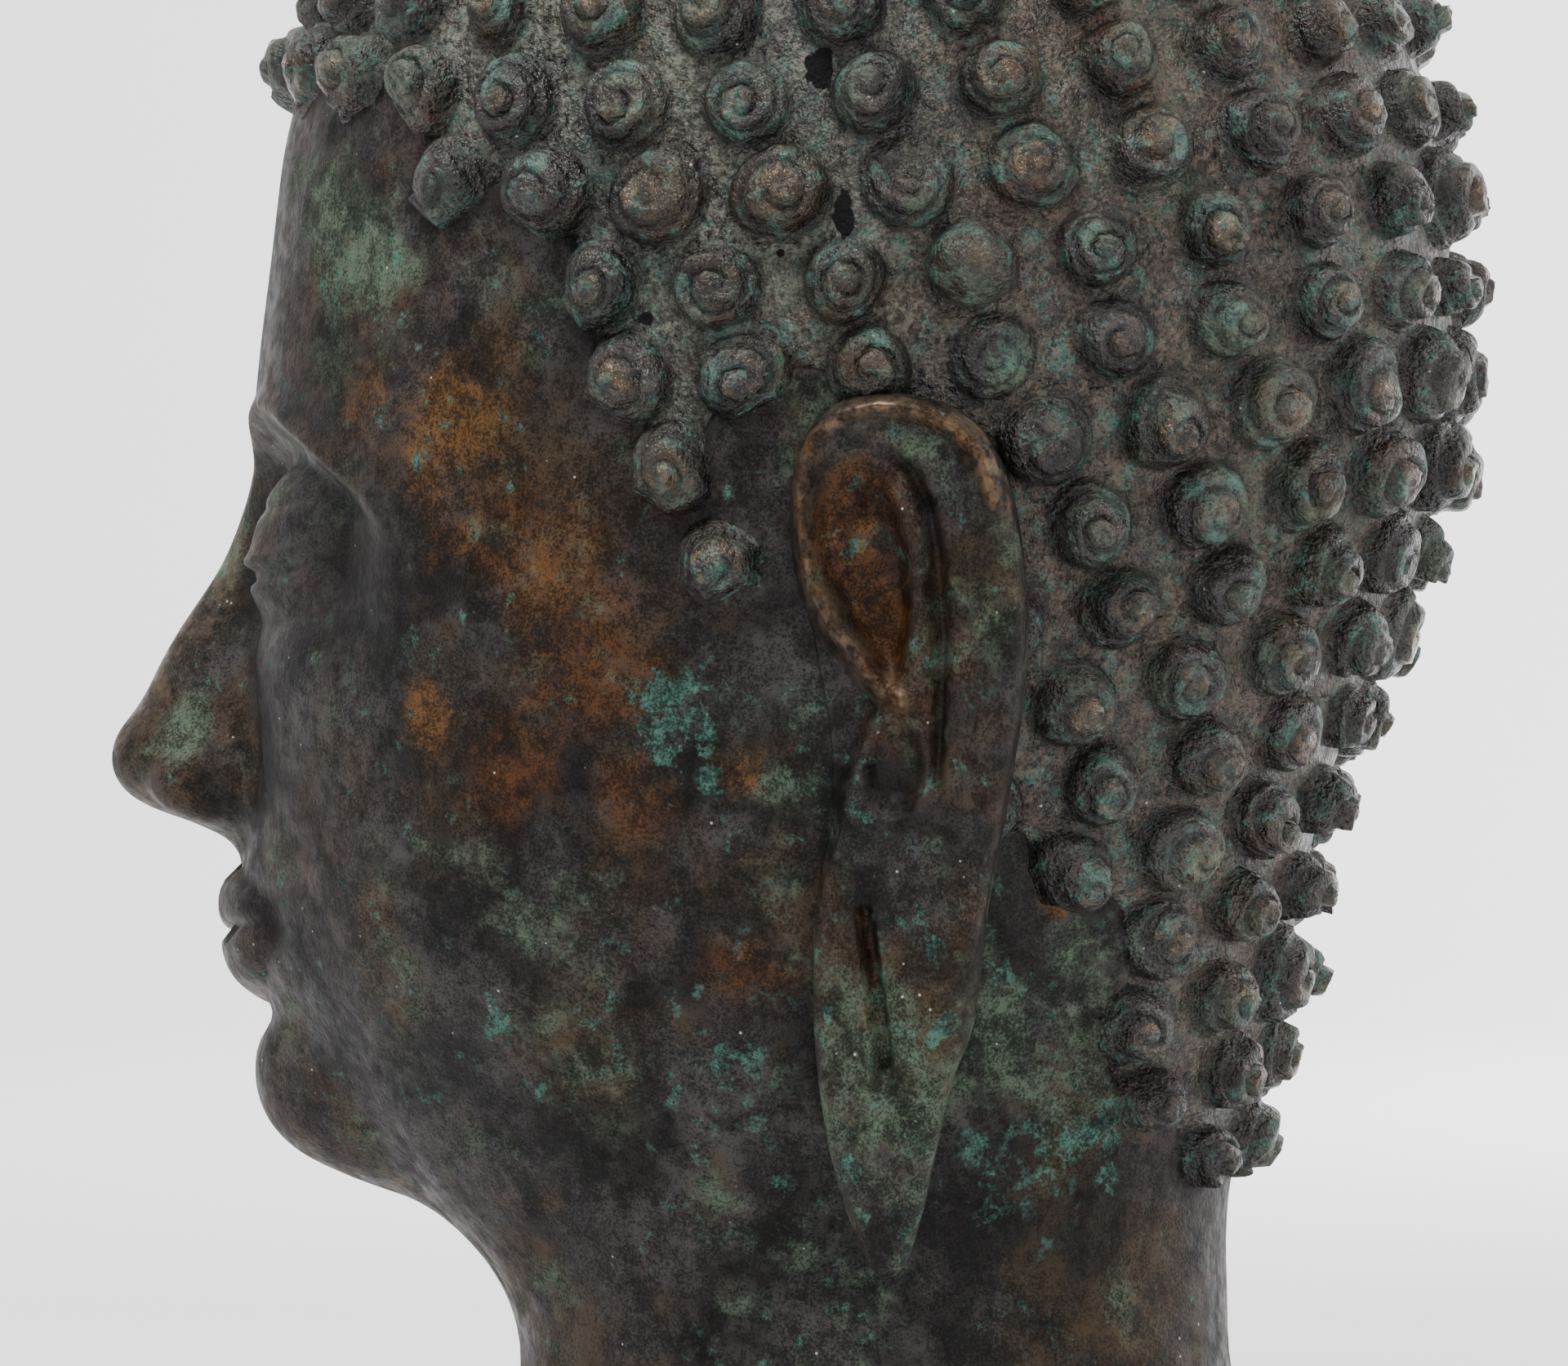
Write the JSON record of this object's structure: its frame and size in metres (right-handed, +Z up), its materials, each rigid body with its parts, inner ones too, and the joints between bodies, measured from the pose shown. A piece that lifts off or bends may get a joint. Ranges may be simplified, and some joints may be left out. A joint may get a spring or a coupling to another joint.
{
  "type": "bronze buddha head",
  "caption": "Cast bronze head with rows of snail-shell curls, a crown bump and long pierced ears, cut flat at the neck to stand on a shelf or plinth.",
  "frame": {"origin": "centre of the bounding box on the flat cut of the neck", "axes": "+Z up, the face looks towards -Y, +X is the head's left side"},
  "size_m": [0.1411, 0.1882, 0.2678],
  "materials": {
    "old_bronze": "cast bronze gone nearly black, mottled with green, red-brown and ochre patina"
  },
  "bodies": {
    "root": {"bronze_head": "old_bronze"}
  },
  "joints": []
}
